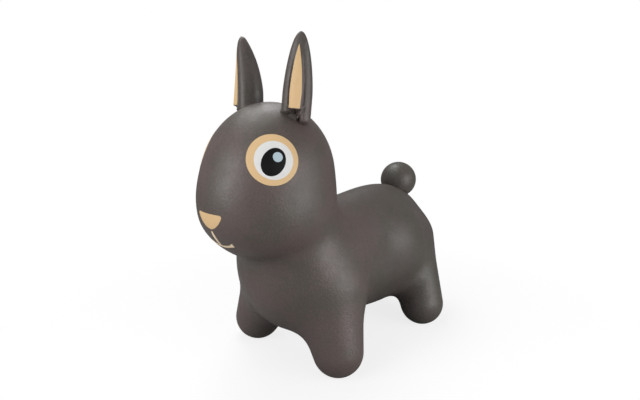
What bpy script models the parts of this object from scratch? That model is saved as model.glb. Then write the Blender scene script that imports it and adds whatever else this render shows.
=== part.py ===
"""Inflatable rabbit hopper: a moulded air skin, ears that flex, a belly valve, and a printed face.

Units are metres and +Z is up. The rabbit faces -Y, its left side is +X, and it stands on z = 0.
"""
import math

import bmesh
import bpy
import numpy as np
from mathutils import Matrix, Vector

# Fits: the clearance between pieces that touch, and the thickness of a printed film
GAP = 0.0003
FILM = 0.0005

# Air skin: its wall, and the spacing of its mesh
WALL = 0.0025
MESH_STEP = 0.021

# Head: an egg with its nose raised, widened low down by the cheeks
HEAD_Y = -0.1434
HEAD_Z = 0.310
HEAD_HALF_WIDTH = 0.096
HEAD_HALF_LENGTH = 0.108
HEAD_HALF_HEIGHT = 0.119
HEAD_TILT = math.radians(10.0)
CHEEK_BACK = 0.011
CHEEK_DROP = 0.053
CHEEK_HALF_WIDTH = 0.080
CHEEK_HALF_LENGTH = 0.096
CHEEK_HALF_HEIGHT = 0.043
CHEEK_BLEND = 0.060
NECK_BLEND = 0.030

# Torso: chest and rump run into each other as the saddle
CHEST_Y = -0.0869
CHEST_Z = 0.1524
CHEST_HALF_WIDTH = 0.101
CHEST_HALF_LENGTH = 0.090
CHEST_HALF_HEIGHT = 0.1023
RUMP_Y = 0.1323
RUMP_Z = 0.1489
RUMP_HALF_WIDTH = 0.083
RUMP_HALF_LENGTH = 0.127
RUMP_HALF_HEIGHT = 0.1143
SADDLE_BLEND = 0.175

# Shoulders and haunches: soft swells on the sides of the torso
SHOULDER_X = 0.034
SHOULDER_Y = -0.1054
SHOULDER_Z = 0.188
SHOULDER_RADIUS = 0.043
HAUNCH_X = 0.0423
HAUNCH_Y = 0.1296
HAUNCH_Z = 0.157
HAUNCH_RADIUS = 0.046
SWELL_BLEND = 0.050

# Legs: tapered stubs that splay outwards, cut flat at the sole
FRONT_HIP_X = 0.060
FRONT_HIP_Y = -0.0764
FRONT_HIP_Z = 0.124
FRONT_HIP_RADIUS = 0.059
FRONT_FOOT_X = 0.097
FRONT_FOOT_Y = -0.0904
FRONT_FOOT_RADIUS = 0.041
HIND_HIP_X = 0.040
HIND_HIP_Y = 0.1966
HIND_HIP_Z = 0.152
HIND_HIP_RADIUS = 0.0426
HIND_FOOT_X = 0.092
HIND_FOOT_Y = 0.1636
HIND_FOOT_RADIUS = 0.041
SOLE_CUT = 0.004
LEG_BLEND = 0.032

# Tail: a ball on top of the rump, behind and above its middle
TAIL_BACK = 0.0723
TAIL_RISE = 0.1151
TAIL_RADIUS = 0.0353

# Ears: horn-shaped handles with a flat front, each on a ball foot that rocks in a root cup on the head
EAR_X = 0.041
EAR_BACK = 0.009
EAR_LENGTH = 0.087
EAR_HALF_WIDTH = 0.0214
EAR_FOOT_RADIUS = 0.022
EAR_FRONT = 0.020
EAR_FRONT_SHARE = 0.72
EAR_WIDEST = 0.40
EAR_TAPER_START = 1.5
EAR_TAPER = 0.55
EAR_TIP_BACK = 0.006
EAR_TIP_BEND = 12.0
EAR_TURN = math.radians(38.0)
EAR_LEAN_OUT = math.radians(3.0)
EAR_LEAN_BACK = math.radians(4.0)
ROOT_FLOOR = 0.0025
ROOT_RADIUS = 0.0235
ROOT_REACH = math.radians(46.0)
EAR_FLAT_FOOT = 0.006
EAR_PRINT_MARGIN = 0.002
EAR_PRINT_TOP = 0.070
EAR_PRINT_HALF_WIDTH = 0.0088

# Eyes: rings of print on the head, turned out from the nose and lifted above the head's middle
EYE_TURN = math.radians(55.6)
EYE_LIFT = math.radians(23.0)
EYE_RING_RADIUS = 0.0360
EYE_WHITE_RADIUS = 0.0270
EYE_WHITE_BACK = 0.0012
EYE_WHITE_DROP = 0.0012
PUPIL_HALF_HEIGHT = 0.0206
PUPIL_HALF_WIDTH = 0.0162
PUPIL_LEAN = math.radians(32.0)
PUPIL_BACK = 0.0004
PUPIL_DROP = 0.0038
GLINT_RADIUS = 0.0069
GLINT_BACK = 0.0067
GLINT_RISE = 0.0026

# Nose and mouth: print on the front of the face, from the nose's top edge downwards
NOSE_DROP = 0.0310
NOSE_HEIGHT = 0.0233
NOSE_HALF_WIDTH = 0.0260
NOSE_FULLNESS = 1.6
NOSE_CORNER = 0.0030
LIP_GAP = 0.0035
LIP_LENGTH = 0.0240
LIP_WIDTH = 0.0030
SMILE_HALF_WIDTH = 0.0270
SMILE_RISE = 0.0065
SMILE_THICKNESS = 0.0030

# Valve: a grommet in the belly wall, closed by a push-in stopper
VALVE_Y = 0.030
VALVE_BORE_RADIUS = 0.0045
VALVE_NECK_RADIUS = 0.0090
VALVE_FLANGE_RADIUS = 0.0140
VALVE_COLLAR_RADIUS = 0.0115
VALVE_FLANGE = 0.0015
VALVE_TUBE = 0.0080
VALVE_PLAY = 0.0010
PLUG_HEAD_RADIUS = 0.0085
PLUG_HEAD = 0.0030
PLUG_NOSE = 0.0030
PLUG_EDGE = 0.0010

# Finishes: colours as screen values, and how rough each surface is
BODY_COLOUR = (96, 90, 87)
PRINT_COLOUR = (221, 188, 142)
WHITE_COLOUR = (226, 230, 226)
PUPIL_COLOUR = (34, 32, 33)
GLINT_COLOUR = (179, 198, 206)
VALVE_COLOUR = (78, 74, 72)
BODY_ROUGHNESS = 0.5
PRINT_ROUGHNESS = 0.4
VALVE_ROUGHNESS = 0.55
SHARP_ANGLE = math.radians(40.0)

# Fineness: points and steps along round pieces, and rounds of settling onto the skin
TURN_POINTS = 28
PRINT_POINTS = 28
EAR_BACK_POINTS = 13
EAR_FRONT_POINTS = 5
EAR_FOOT_STEPS = 5
EAR_STEPS = 9
ROOT_STEPS = 4
NOSE_CURVE_POINTS = 24
NOSE_CORNER_POINTS = 6
NOSE_POINTS = 30
NOSE_STEPS = 4
MOUTH_STEPS = 8
BALL_SUBDIVISIONS = 4
SETTLE_ROUNDS = 14
RELAX_ROUNDS = 4
RELAX_SHARE = 0.5
SLOPE_STEP = 0.0002
ON_CUT = 0.00001
SLIVER_SHARE = 0.3

UP = np.array((0.0, 0.0, 1.0))
UP_VECTOR = Vector((0.0, 0.0, 1.0))
FORE_AND_AFT = np.array((0.0, 1.0, 0.0))


def blend(first, second, reach):
    """Join two distance fields with a fillet that starts where they are `reach` apart."""
    overlap = np.maximum(reach - np.abs(first - second), 0.0) / reach
    return np.minimum(first, second) - overlap * overlap * reach / 4.0


def ellipsoid_distance(points, centre, radii):
    """Distance from points to an ellipsoid."""
    offset = points - np.array(centre)
    inner = np.linalg.norm(offset / np.array(radii), axis=1)
    outer = np.linalg.norm(offset / np.array(radii) ** 2, axis=1) + 1e-9
    return inner * (inner - 1.0) / outer


def stub_distance(points, top, top_radius, foot, foot_radius):
    """Distance from points to the tapered limb that two balls and the cone around them make."""
    axis = np.array(foot) - np.array(top)
    length = np.linalg.norm(axis)
    axis = axis / length
    sine = (top_radius - foot_radius) / length
    cosine = math.sqrt(1.0 - sine * sine)
    offset = points - np.array(top)
    along = offset @ axis
    across = np.sqrt(np.maximum((offset ** 2).sum(axis=1) - along ** 2, 0.0))
    share = np.clip((along - across * sine / cosine) / length, 0.0, 1.0)
    nearest_radius = top_radius + (foot_radius - top_radius) * share
    return np.hypot(across, along - share * length) - nearest_radius


def head_distance(points):
    """Distance from points to the head, in a frame tilted with the nose."""
    offset = points - np.array((0.0, HEAD_Y, HEAD_Z))
    cosine = math.cos(HEAD_TILT)
    sine = math.sin(HEAD_TILT)
    length_wise = cosine * offset[:, 1] - sine * offset[:, 2]
    upright = sine * offset[:, 1] + cosine * offset[:, 2]
    tilted = np.stack((offset[:, 0], length_wise, upright), axis=1)
    skull = ellipsoid_distance(tilted, (0.0, 0.0, 0.0), (HEAD_HALF_WIDTH, HEAD_HALF_LENGTH, HEAD_HALF_HEIGHT))
    cheeks = ellipsoid_distance(
        tilted,
        (0.0, CHEEK_BACK, -CHEEK_DROP),
        (CHEEK_HALF_WIDTH, CHEEK_HALF_LENGTH, CHEEK_HALF_HEIGHT),
    )
    return blend(skull, cheeks, CHEEK_BLEND)


def legs():
    """Hip point, hip radius, foot point and foot radius of the legs on the left side."""
    front_foot = (FRONT_FOOT_X, FRONT_FOOT_Y, FRONT_FOOT_RADIUS - SOLE_CUT)
    hind_foot = (HIND_FOOT_X, HIND_FOOT_Y, HIND_FOOT_RADIUS - SOLE_CUT)
    return (
        ((FRONT_HIP_X, FRONT_HIP_Y, FRONT_HIP_Z), FRONT_HIP_RADIUS, front_foot, FRONT_FOOT_RADIUS),
        ((HIND_HIP_X, HIND_HIP_Y, HIND_HIP_Z), HIND_HIP_RADIUS, hind_foot, HIND_FOOT_RADIUS),
    )


def swells():
    """Centre and radius of the shoulder and the haunch on the left side."""
    return (
        ((SHOULDER_X, SHOULDER_Y, SHOULDER_Z), SHOULDER_RADIUS),
        ((HAUNCH_X, HAUNCH_Y, HAUNCH_Z), HAUNCH_RADIUS),
    )


def skin_distance(points):
    """Distance from points to the outside of the skin without its tail, negative inside it."""
    chest = ellipsoid_distance(
        points, (0.0, CHEST_Y, CHEST_Z), (CHEST_HALF_WIDTH, CHEST_HALF_LENGTH, CHEST_HALF_HEIGHT)
    )
    rump = ellipsoid_distance(
        points, (0.0, RUMP_Y, RUMP_Z), (RUMP_HALF_WIDTH, RUMP_HALF_LENGTH, RUMP_HALF_HEIGHT)
    )
    form = blend(chest, rump, SADDLE_BLEND)
    left_side = np.stack((np.abs(points[:, 0]), points[:, 1], points[:, 2]), axis=1)
    for hip, hip_radius, foot, foot_radius in legs():
        form = blend(form, stub_distance(left_side, hip, hip_radius, foot, foot_radius), LEG_BLEND)
    form = blend(form, head_distance(points), NECK_BLEND)
    for centre, radius in swells():
        form = blend(form, ellipsoid_distance(left_side, centre, (radius,) * 3), SWELL_BLEND)
    return form


def skin_slope(points):
    """Outward slope of the skin's distance at each point."""
    slope = np.zeros_like(points)
    for axis in range(3):
        step = np.zeros(3)
        step[axis] = SLOPE_STEP
        slope[:, axis] = (skin_distance(points + step) - skin_distance(points - step)) / (2.0 * SLOPE_STEP)
    return slope


def settle(points, level, along=None):
    """Slide points onto the surface `level` outside the skin, the nearest way or along one direction."""
    settled = np.array(points, dtype=float).reshape(-1, 3)
    for _ in range(SETTLE_ROUNDS):
        miss = skin_distance(settled) - level
        slope = skin_slope(settled)
        if along is None:
            settled = settled - slope * (miss / (slope ** 2).sum(axis=1))[:, None]
        else:
            settled = settled - np.outer(miss / (slope @ along), along)
    return settled


def clear_scene():
    for existing in list(bpy.data.objects):
        bpy.data.objects.remove(existing, do_unlink=True)


def linear(channel):
    """One 0 to 255 screen colour channel as linear light."""
    share = channel / 255.0
    return share / 12.92 if share <= 0.04045 else ((share + 0.055) / 1.055) ** 2.4


def finish(name, colour, roughness):
    """A plastic finish of one screen colour."""
    material = bpy.data.materials.new(name)
    material.use_nodes = True
    shader = material.node_tree.nodes["Principled BSDF"]
    shader.inputs["Base Color"].default_value = (*(linear(channel) for channel in colour), 1.0)
    shader.inputs["Roughness"].default_value = roughness
    shader.inputs["Metallic"].default_value = 0.0
    return material


def place(name, mesh, material, location=(0.0, 0.0, 0.0)):
    """Add a mesh, shaded smooth, as a named object."""
    mesh.materials.append(material)
    mesh.shade_smooth()
    mesh.set_sharp_from_angle(angle=SHARP_ANGLE)
    piece = bpy.data.objects.new(name, mesh)
    piece.location = location
    bpy.context.collection.objects.link(piece)
    return piece


def mesh_from(builder, name):
    mesh = bpy.data.meshes.new(name)
    builder.to_mesh(mesh)
    builder.free()
    return mesh


def skin_tool(name, mesh):
    """A hidden object that only shapes another one."""
    tool = bpy.data.objects.new(name, mesh)
    tool.hide_render = True
    tool.display_type = "WIRE"
    bpy.context.collection.objects.link(tool)
    return tool


def add_ball(builder, centre, radii, turn=Matrix.Identity(4)):
    """Add an ellipsoid of the rough form."""
    scale = Matrix.Diagonal((*radii, 1.0))
    bmesh.ops.create_icosphere(
        builder, subdivisions=BALL_SUBDIVISIONS, radius=1.0, matrix=Matrix.Translation(centre) @ turn @ scale,
    )


def add_hull(builder, balls):
    """Add the hull around two ellipsoids of the rough form."""
    wrapped = bmesh.new()
    for centre, radii in balls:
        add_ball(wrapped, centre, radii)
    hull = bmesh.ops.convex_hull(wrapped, input=wrapped.verts)
    bmesh.ops.delete(wrapped, geom=hull["geom_interior"], context="VERTS")
    mesh = mesh_from(wrapped, "hull")
    builder.from_mesh(mesh)
    bpy.data.meshes.remove(mesh)


def rough_form():
    """The balls and limbs that the body is blown from, meshed together at an even spacing."""
    builder = bmesh.new()
    tilt = Matrix.Rotation(-HEAD_TILT, 4, "X")
    head = Vector((0.0, HEAD_Y, HEAD_Z))
    cheeks = head + tilt @ Vector((0.0, CHEEK_BACK, -CHEEK_DROP))
    add_ball(builder, head, (HEAD_HALF_WIDTH, HEAD_HALF_LENGTH, HEAD_HALF_HEIGHT), tilt)
    add_ball(builder, cheeks, (CHEEK_HALF_WIDTH, CHEEK_HALF_LENGTH, CHEEK_HALF_HEIGHT), tilt)
    add_hull(builder, (
        ((0.0, CHEST_Y, CHEST_Z), (CHEST_HALF_WIDTH, CHEST_HALF_LENGTH, CHEST_HALF_HEIGHT)),
        ((0.0, RUMP_Y, RUMP_Z), (RUMP_HALF_WIDTH, RUMP_HALF_LENGTH, RUMP_HALF_HEIGHT)),
    ))
    for hip, hip_radius, foot, foot_radius in legs():
        for side in (1.0, -1.0):
            mirrored = Vector((side, 1.0, 1.0))
            add_hull(builder, (
                (Vector(hip) * mirrored, (hip_radius,) * 3),
                (Vector(foot) * mirrored, (foot_radius,) * 3),
            ))
    rough = bpy.data.objects.new("rough_form", mesh_from(builder, "rough_form"))
    bpy.context.collection.objects.link(rough)
    remesh = rough.modifiers.new("even_mesh", "REMESH")
    remesh.mode = "VOXEL"
    remesh.voxel_size = MESH_STEP
    remesh.adaptivity = 0.0
    evaluated = rough.evaluated_get(bpy.context.evaluated_depsgraph_get())
    form = bmesh.new()
    form.from_mesh(evaluated.to_mesh())
    evaluated.to_mesh_clear()
    bpy.data.objects.remove(rough, do_unlink=True)
    return form


def settle_half(half):
    """Settle a half body's points onto the skin, with its open edge kept on the middle plane."""
    middle = [vertex.index for vertex in half.verts if vertex.is_boundary]
    places = np.array([vertex.co for vertex in half.verts])
    places[middle, 0] = 0.0
    places = settle(places, 0.0)
    places[middle, 0] = 0.0
    for vertex, position in zip(half.verts, places):
        vertex.co = position


def cut_flat(form, normal):
    """Cut a form through the origin, keep what lies along the normal, and weld slivers onto the cut's rim."""
    bmesh.ops.bisect_plane(
        form, geom=form.verts[:] + form.edges[:] + form.faces[:], dist=ON_CUT,
        plane_co=(0.0, 0.0, 0.0), plane_no=normal, clear_inner=True,
    )
    welds = {}
    for vertex in form.verts:
        if ON_CUT < vertex.co.dot(normal) < MESH_STEP * SLIVER_SHARE:
            neighbours = [edge.other_vert(vertex) for edge in vertex.link_edges]
            rim = [other for other in neighbours if abs(other.co.dot(normal)) < ON_CUT]
            if rim:
                welds[vertex] = min(rim, key=lambda other: (other.co - vertex.co).length)
    bmesh.ops.weld_verts(form, targetmap=welds)
    form.verts.index_update()


def half_form():
    """The left half of the outer surface, relaxed so that its faces stay even, cut flat at the soles."""
    half = rough_form()
    cut_flat(half, Vector((1.0, 0.0, 0.0)))
    for _ in range(RELAX_ROUNDS):
        settle_half(half)
        bmesh.ops.smooth_vert(
            half, verts=half.verts, factor=RELAX_SHARE, use_axis_x=True, use_axis_y=True, use_axis_z=True,
        )
    settle_half(half)
    cut_flat(half, UP_VECTOR)
    rims = [edge for edge in half.edges if edge.is_boundary and all(abs(v.co.z) < ON_CUT for v in edge.verts)]
    bmesh.ops.edgeloop_fill(half, edges=rims)
    bmesh.ops.recalc_face_normals(half, faces=half.faces)
    return half


def shape_with(piece, name, operation, tool):
    """Join another shape to a piece, or cut it away."""
    change = piece.modifiers.new(name, "BOOLEAN")
    change.operation = operation
    change.solver = "EXACT"
    change.object = tool


def build_skin():
    """The moulded body: both halves, the ball tail, the wall inside them, and the hole for the valve."""
    skin = place("skin", mesh_from(half_form(), "skin"), finish("skin", BODY_COLOUR, BODY_ROUGHNESS))
    mirror = skin.modifiers.new("both_sides", "MIRROR")
    mirror.merge_threshold = 0.0001
    ball = bmesh.new()
    bmesh.ops.create_uvsphere(
        ball, u_segments=TURN_POINTS, v_segments=TURN_POINTS // 2, radius=TAIL_RADIUS,
        matrix=Matrix.Translation((0.0, RUMP_Y + TAIL_BACK, RUMP_Z + TAIL_RISE)),
    )
    shape_with(skin, "tail", "UNION", skin_tool("tail_ball", mesh_from(ball, "tail_ball")))
    wall = skin.modifiers.new("wall", "SOLIDIFY")
    wall.thickness = WALL
    wall.offset = -1.0
    wall.use_even_offset = True
    wall.use_quality_normals = True
    hole = bmesh.new()
    bmesh.ops.create_cone(
        hole, cap_ends=True, segments=TURN_POINTS, depth=2.0 * valve_top(),
        radius1=VALVE_NECK_RADIUS + GAP, radius2=VALVE_NECK_RADIUS + GAP,
        matrix=Matrix.Translation((0.0, VALVE_Y, valve_mouth())),
    )
    shape_with(skin, "valve_hole", "DIFFERENCE", skin_tool("valve_hole", mesh_from(hole, "valve_hole")))
    return skin


def loft(builder, rings, wrap=False):
    """Join rings of points by faces. A ring of one point is a pole, and wrapping joins the last to the first."""
    loops = [[builder.verts.new(point) for point in ring] for ring in rings]
    pairs = list(zip(loops, loops[1:]))
    if wrap:
        pairs.append((loops[-1], loops[0]))
    for first, second in pairs:
        for index in range(max(len(first), len(second))):
            after = index + 1
            corners = (
                first[index % len(first)], first[after % len(first)],
                second[after % len(second)], second[index % len(second)],
            )
            builder.faces.new(list(dict.fromkeys(corners)))


def circle(radius, height):
    """Points of one ring of a turned piece, or its pole."""
    if radius == 0.0:
        return [Vector((0.0, 0.0, height))]
    angles = [2.0 * math.pi * index / TURN_POINTS for index in range(TURN_POINTS)]
    return [Vector((radius * math.cos(angle), radius * math.sin(angle), height)) for angle in angles]


def turned(name, profile, material, location):
    """A piece turned about +Z from (radius, height) points, closed at its poles or, round a bore, on itself."""
    builder = bmesh.new()
    loft(builder, [circle(radius, height) for radius, height in profile], wrap=profile[0][0] > 0.0)
    bmesh.ops.recalc_face_normals(builder, faces=builder.faces)
    return place(name, mesh_from(builder, name), material, location)


def belly_heights(radius, level):
    """Heights of the surface `level` outside the skin, at the valve's axis and on a circle round it."""
    below = [point + Vector((0.0, VALVE_Y, 0.0)) for point in circle(radius, 0.0) + circle(0.0, 0.0)]
    return settle(below, level, along=UP)[:, 2]


def valve_mouth():
    """Height of the flange's underside, which lies flat below the belly."""
    return belly_heights(VALVE_FLANGE_RADIUS, 0.0).min() - GAP - VALVE_FLANGE


def valve_top():
    """Height of the valve tube's inner end above the flange's underside."""
    return valve_collar() + VALVE_FLANGE + VALVE_TUBE


def valve_collar():
    """Height of the inner collar above the flange's underside, clear of the belly wall."""
    return belly_heights(VALVE_COLLAR_RADIUS, -WALL).max() + VALVE_PLAY - valve_mouth()


def build_valve():
    """The grommet that is trapped in the belly wall, and the stopper in its bore."""
    base = (0.0, VALVE_Y, valve_mouth())
    collar = valve_collar()
    tube_radius = (VALVE_BORE_RADIUS + VALVE_NECK_RADIUS) / 2.0
    turned("valve_seat", (
        (VALVE_BORE_RADIUS, 0.0),
        (VALVE_FLANGE_RADIUS, 0.0),
        (VALVE_FLANGE_RADIUS, VALVE_FLANGE),
        (VALVE_NECK_RADIUS, VALVE_FLANGE),
        (VALVE_NECK_RADIUS, collar),
        (VALVE_COLLAR_RADIUS, collar),
        (VALVE_COLLAR_RADIUS, collar + VALVE_FLANGE),
        (tube_radius, collar + VALVE_FLANGE),
        (tube_radius, valve_top()),
        (VALVE_BORE_RADIUS, valve_top()),
    ), finish("valve_seat", VALVE_COLOUR, VALVE_ROUGHNESS), base)
    stem_radius = VALVE_BORE_RADIUS - GAP
    turned("valve_plug", (
        (0.0, -GAP - PLUG_HEAD),
        (PLUG_HEAD_RADIUS - PLUG_EDGE, -GAP - PLUG_HEAD),
        (PLUG_HEAD_RADIUS, PLUG_EDGE - GAP - PLUG_HEAD),
        (PLUG_HEAD_RADIUS, -GAP),
        (stem_radius, -GAP),
        (stem_radius, valve_top() - PLUG_NOSE),
        (stem_radius - PLUG_EDGE, valve_top()),
        (0.0, valve_top()),
    ), finish("valve_plug", VALVE_COLOUR, VALVE_ROUGHNESS), base)


def ear_seat(side):
    """Where an ear root stands on the head, the head's normal there, and the middle of the ear's ball foot."""
    above = (side * EAR_X, HEAD_Y + EAR_BACK, HEAD_Z + HEAD_HALF_HEIGHT)
    contact = Vector(settle(above, 0.0, along=UP)[0])
    normal = Vector(skin_slope(np.array([contact]))[0]).normalized()
    return contact, normal, contact + normal * (EAR_FOOT_RADIUS + ROOT_FLOOR + 2.0 * GAP)


def build_ear_root(side, name):
    """The thick moulded foot of an ear: a cup that follows the head and holds the ear's ball."""
    contact, normal, pivot = ear_seat(side)
    cup_radius = EAR_FOOT_RADIUS + GAP
    pivot_height = (pivot - contact).length
    rim_radius = cup_radius * math.sin(ROOT_REACH)
    rim_height = pivot_height - cup_radius * math.cos(ROOT_REACH)
    profile = []
    for index in range(ROOT_STEPS + 1):
        angle = ROOT_REACH * index / ROOT_STEPS
        profile.append((cup_radius * math.sin(angle), pivot_height - cup_radius * math.cos(angle)))
    for index in range(1, ROOT_STEPS):
        angle = math.pi / 2.0 * index / ROOT_STEPS
        shoulder = rim_radius + (ROOT_RADIUS - rim_radius) * math.sin(angle)
        profile.append((shoulder, rim_height * math.cos(angle)))
    turn = UP_VECTOR.rotation_difference(normal).to_matrix()
    rings = [[contact + turn @ point for point in circle(radius, height)] for radius, height in profile]
    for index in range(ROOT_STEPS + 1):
        under = [contact + turn @ point for point in circle(ROOT_RADIUS * (1.0 - index / ROOT_STEPS), 0.0)]
        rings.append([Vector(point) for point in settle(under, GAP, along=np.array(normal))])
    builder = bmesh.new()
    loft(builder, [[point - contact for point in ring] for ring in rings])
    bmesh.ops.recalc_face_normals(builder, faces=builder.faces)
    return place(name, mesh_from(builder, name), finish(name, BODY_COLOUR, BODY_ROUGHNESS), contact)


def ear_turn(side):
    """Turn of an ear on its foot: its front faces outwards, and it leans out and back."""
    facing = Matrix.Rotation(side * EAR_TURN, 3, "Z")
    outwards = Matrix.Rotation(side * EAR_LEAN_OUT, 3, "Y")
    backwards = Matrix.Rotation(-EAR_LEAN_BACK, 3, "X")
    return (backwards @ outwards @ facing).to_euler()


def ear_front(share):
    """How far an ear's flat front lies ahead of the ear's middle: it bends back at the tip."""
    return EAR_FRONT - EAR_TIP_BACK * share ** EAR_TIP_BEND


def ear_section(share):
    """The D-shaped outline across an ear, at a share of the way up it: a round back and a flat front."""
    narrowing = (1.0 - share ** EAR_TAPER_START) ** EAR_TAPER
    half_width = EAR_HALF_WIDTH * narrowing
    depth = (EAR_FOOT_RADIUS + EAR_FRONT) * narrowing
    front = -ear_front(share)
    widest = front + depth * EAR_WIDEST
    height = EAR_LENGTH * share
    outline = []
    for index in range(EAR_BACK_POINTS):
        angle = math.pi * index / (EAR_BACK_POINTS - 1)
        back = widest + (front + depth - widest) * math.sin(angle)
        outline.append(Vector((half_width * math.cos(angle), back, height)))
    for index in range(EAR_FRONT_POINTS):
        across = 2.0 * index / (EAR_FRONT_POINTS - 1) - 1.0
        outline.append(Vector((half_width * EAR_FRONT_SHARE * across, front, height)))
    return outline


def ear_foot_ring(angle):
    """A ring of the ear's ball foot, with as many points as its sections, `angle` below the ball's middle."""
    radius = EAR_FOOT_RADIUS * math.cos(angle)
    height = -EAR_FOOT_RADIUS * math.sin(angle)
    back = [math.pi * index / (EAR_BACK_POINTS - 1) for index in range(EAR_BACK_POINTS)]
    step = math.pi / (EAR_FRONT_POINTS + 1)
    front = [math.pi + step * (index + 1) for index in range(EAR_FRONT_POINTS)]
    return [Vector((radius * math.cos(turn), radius * math.sin(turn), height)) for turn in back + front]


def build_ear(side, name):
    """An ear: a ball foot that runs up into a horn with a flat front."""
    rings = [[Vector((0.0, 0.0, -EAR_FOOT_RADIUS))]]
    for index in range(EAR_FOOT_STEPS):
        rings.append(ear_foot_ring(math.pi / 2.0 * (1.0 - (index + 1) / EAR_FOOT_STEPS)))
    foot_share = EAR_FLAT_FOOT / EAR_LENGTH
    for index in range(EAR_STEPS):
        rings.append(ear_section(foot_share + (1.0 - foot_share) * math.sin(math.pi / 2.0 * index / EAR_STEPS)))
    rings.append([Vector((0.0, -ear_front(1.0), EAR_LENGTH))])
    builder = bmesh.new()
    loft(builder, rings)
    bmesh.ops.recalc_face_normals(builder, faces=builder.faces)
    ear = place(name, mesh_from(builder, name), finish(name, BODY_COLOUR, BODY_ROUGHNESS), ear_seat(side)[2])
    ear.rotation_euler = ear_turn(side)
    return ear


def build_ear_print(side, name):
    """The leaf of print on the flat front of an ear."""
    builder = bmesh.new()
    rows = []
    foot = EAR_FLAT_FOOT + EAR_PRINT_MARGIN
    for index in range(EAR_STEPS):
        share = index / EAR_STEPS
        half_width = EAR_PRINT_HALF_WIDTH * (1.0 - share ** 2)
        height = foot + (EAR_PRINT_TOP - foot) * share
        rows.append([Vector((half_width * edge, -EAR_FRONT - GAP, height)) for edge in (-1.0, 1.0)])
    rows.append([Vector((0.0, -EAR_FRONT - GAP, EAR_PRINT_TOP))])
    strip(builder, rows)
    leaf = film(name, builder, Vector((0.0, -1.0, 0.0)), PRINT_COLOUR, ear_seat(side)[2])
    leaf.rotation_euler = ear_turn(side)
    return leaf


def strip(builder, rows):
    """Join rows of points into an open ribbon."""
    lines = [[builder.verts.new(point) for point in row] for row in rows]
    for first, second in zip(lines, lines[1:]):
        builder.faces.new(first + second[::-1])


def film(name, builder, outwards, colour, location):
    """Thicken an open sheet of print outwards into a film."""
    builder.normal_update()
    facing = sum((face.normal * face.calc_area() for face in builder.faces), Vector())
    if facing.dot(outwards) < 0.0:
        bmesh.ops.reverse_faces(builder, faces=builder.faces)
    sheet = place(name, mesh_from(builder, name), finish(name, colour, PRINT_ROUGHNESS), location)
    thicken = sheet.modifiers.new("film", "SOLIDIFY")
    thicken.thickness = FILM
    thicken.offset = 1.0
    return sheet


def oval(centre, half_width, half_height, lean=0.0):
    """Points of an oval print edge, seen from in front of the eye."""
    points = []
    for index in range(PRINT_POINTS):
        angle = 2.0 * math.pi * index / PRINT_POINTS
        across = half_width * math.cos(angle)
        up = half_height * math.sin(angle)
        points.append((
            centre[0] + across * math.cos(lean) + up * math.sin(lean),
            centre[1] - across * math.sin(lean) + up * math.cos(lean),
        ))
    return np.array(points)


def eye_place(side):
    """The middle of an eye on the head, and the head's normal there."""
    ahead = HEAD_HALF_LENGTH * math.cos(EYE_LIFT) * math.cos(EYE_TURN)
    across = HEAD_HALF_WIDTH * math.cos(EYE_LIFT) * math.sin(EYE_TURN)
    above = HEAD_HALF_HEIGHT * math.sin(EYE_LIFT)
    middle = Vector(settle((side * across, HEAD_Y - ahead, HEAD_Z + above), 0.0)[0])
    return middle, Vector(skin_slope(np.array([middle]))[0]).normalized()


def eye_film(side, name, colour, inner, outer, steps):
    """A printed ring of one eye between two edges, drawn as seen from in front of it and laid on the head."""
    middle, normal = eye_place(side)
    rise = (UP_VECTOR - normal * normal.z).normalized()
    back = rise.cross(normal) * side
    rings = []
    for index in range(steps + 1):
        flat = inner + (outer - inner) * index / steps
        places = [middle + back * across + rise * up for across, up in flat]
        rings.append([Vector(point) - middle for point in settle(places, GAP, along=np.array(normal))])
    builder = bmesh.new()
    loft(builder, rings)
    return film(name, builder, normal, colour, middle)


def build_eye(side, end):
    """One eye: tan ring, white, leaning pupil and glint, printed side by side."""
    white = (EYE_WHITE_BACK, -EYE_WHITE_DROP)
    pupil = (PUPIL_BACK, -PUPIL_DROP)
    glint = (GLINT_BACK, GLINT_RISE)
    ring_edge = oval((0.0, 0.0), EYE_RING_RADIUS, EYE_RING_RADIUS)
    ring_hole = oval(white, EYE_WHITE_RADIUS + GAP, EYE_WHITE_RADIUS + GAP)
    white_edge = oval(white, EYE_WHITE_RADIUS, EYE_WHITE_RADIUS)
    white_hole = oval(pupil, PUPIL_HALF_WIDTH + GAP, PUPIL_HALF_HEIGHT + GAP, PUPIL_LEAN)
    pupil_edge = oval(pupil, PUPIL_HALF_WIDTH, PUPIL_HALF_HEIGHT, PUPIL_LEAN)
    pupil_hole = oval(glint, GLINT_RADIUS + GAP, GLINT_RADIUS + GAP, PUPIL_LEAN)
    glint_edge = oval(glint, GLINT_RADIUS, GLINT_RADIUS)
    eye_film(side, "eye_ring" + end, PRINT_COLOUR, ring_hole, ring_edge, 1)
    eye_film(side, "eye_white" + end, WHITE_COLOUR, white_hole, white_edge, 2)
    eye_film(side, "eye_pupil" + end, PUPIL_COLOUR, pupil_hole, pupil_edge, 2)
    eye_film(side, "eye_glint" + end, GLINT_COLOUR, np.array([glint]), glint_edge, 1)


def face_film(name, rings, joiner):
    """A print on the front of the face, given by rings or rows of (across, height) points."""
    ahead = HEAD_Y - HEAD_HALF_LENGTH - CHEEK_HALF_LENGTH
    laid = []
    for ring in rings:
        places = settle([(across, ahead, height) for across, height in ring], GAP, along=FORE_AND_AFT)
        laid.append([Vector(point) for point in places])
    middle = sum((point for ring in laid for point in ring), Vector()) / sum(len(ring) for ring in laid)
    builder = bmesh.new()
    joiner(builder, [[point - middle for point in ring] for ring in laid])
    return film(name, builder, Vector((0.0, -1.0, 0.0)), PRINT_COLOUR, middle)


def nose_foot():
    return HEAD_Z - NOSE_DROP - NOSE_HEIGHT


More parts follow.
